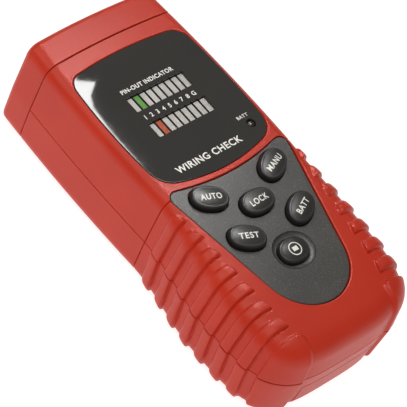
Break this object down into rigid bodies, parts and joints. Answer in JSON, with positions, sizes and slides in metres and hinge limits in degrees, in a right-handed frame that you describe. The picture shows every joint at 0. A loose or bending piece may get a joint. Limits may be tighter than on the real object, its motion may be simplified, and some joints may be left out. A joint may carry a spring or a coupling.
{
  "type": "network cable tester",
  "caption": "Handheld network cable tester in a ribbed red case with a display window of light bars, a keypad of sprung keys, modular sockets in its head and a sliding battery door.",
  "frame": {"origin": "middle of the footprint, on the plane that the back rests on", "axes": "+Z out of the keypad face, +Y towards the end with the sockets, +X across to the right"},
  "size_m": [0.0626, 0.1259, 0.0356],
  "materials": {
    "housing_red": "fine-textured satin ABS",
    "door_red": "fine-textured satin ABS",
    "plate_black": "polished printed overlay",
    "panel_grey": "speckled matt insert",
    "silicone": "matt silicone",
    "key_black": "satin coated silicone",
    "carbon": "carbon-loaded, matt",
    "led_case": "satin moulded case",
    "led_idle": "diffuse resin, unlit",
    "led_green": "diffuse resin, lit green",
    "led_red": "diffuse resin, lit orange-red",
    "led_clear": "tinted resin",
    "board_green": "solder mask",
    "ic_black": "moulded epoxy",
    "tinned": "tinned metal",
    "gold": "gold flash",
    "socket_black": "moulded nylon",
    "steel": "zinc plated",
    "battery_wrap": "plain printed jacket",
    "snap_vinyl": "soft vinyl",
    "wire_red": "PVC insulation",
    "wire_black": "PVC insulation",
    "foam": "closed-cell foam",
    "sleeve": "printed capacitor sleeve"
  },
  "bodies": {
    "case": {"front_shell": "housing_red", "rear_shell": "housing_red", "end_cap": "housing_red", "faceplate": "plate_black", "keypad_panel": "panel_grey", "keypad_mat": "silicone", "rj45_socket_left": "socket_black", "rj45_socket_right": "socket_black", "socket_contacts_left": "gold", "socket_contacts_right": "gold", "case_screws": "steel", "led_array_upper_housing": "led_case", "led_array_lower_housing": "led_case", "led_bars_upper": "led_idle", "led_bars_lower": "led_idle", "led_bar_green_lit": "led_green", "led_bar_red_lit": "led_red", "battery_led": "led_clear", "main_board": "board_green", "microcontroller": "ic_black", "line_driver_chips": "ic_black", "crystal_can": "tinned", "electrolytic_capacitor": "sleeve", "chip_resistors": "ic_black", "key_contact_pads": "gold", "battery_9v": "battery_wrap", "battery_terminals": "tinned", "battery_snap": "snap_vinyl", "lead_red": "wire_red", "lead_black": "wire_black"},
    "battery_cover": {"battery_door": "door_red", "battery_foam_pad": "foam"},
    "auto_key": {"key_auto": "key_black", "carbon_pill_auto": "carbon"},
    "manu_key": {"key_manu": "key_black", "carbon_pill_manu": "carbon"},
    "lock_key": {"key_lock": "key_black", "carbon_pill_lock": "carbon"},
    "batt_key": {"key_batt": "key_black", "carbon_pill_batt": "carbon"},
    "test_key": {"key_test": "key_black", "carbon_pill_test": "carbon"},
    "power_key": {"key_power": "key_black", "carbon_pill_power": "carbon"}
  },
  "joints": [
    {"name": "battery_door_slide", "type": "slide", "parent": "case", "child": "battery_cover", "axis": [0, -1, 0], "range_m": [0, 0.06]},
    {"name": "auto_press", "type": "slide", "parent": "case", "child": "auto_key", "axis": [0, 0.0946, -0.9955], "range_m": [0, 0.0012], "stiffness_N_per_m": 900, "springref_m": -0.0006},
    {"name": "manu_press", "type": "slide", "parent": "case", "child": "manu_key", "axis": [0, 0.0946, -0.9955], "range_m": [0, 0.0012], "stiffness_N_per_m": 900, "springref_m": -0.0006},
    {"name": "lock_press", "type": "slide", "parent": "case", "child": "lock_key", "axis": [0, 0.0946, -0.9955], "range_m": [0, 0.0012], "stiffness_N_per_m": 900, "springref_m": -0.0006},
    {"name": "batt_press", "type": "slide", "parent": "case", "child": "batt_key", "axis": [0, 0.0946, -0.9955], "range_m": [0, 0.0012], "stiffness_N_per_m": 900, "springref_m": -0.0006},
    {"name": "test_press", "type": "slide", "parent": "case", "child": "test_key", "axis": [0, 0.0946, -0.9955], "range_m": [0, 0.0012], "stiffness_N_per_m": 900, "springref_m": -0.0006},
    {"name": "power_press", "type": "slide", "parent": "case", "child": "power_key", "axis": [0, 0.0946, -0.9955], "range_m": [0, 0.0012], "stiffness_N_per_m": 900, "springref_m": -0.0006}
  ]
}
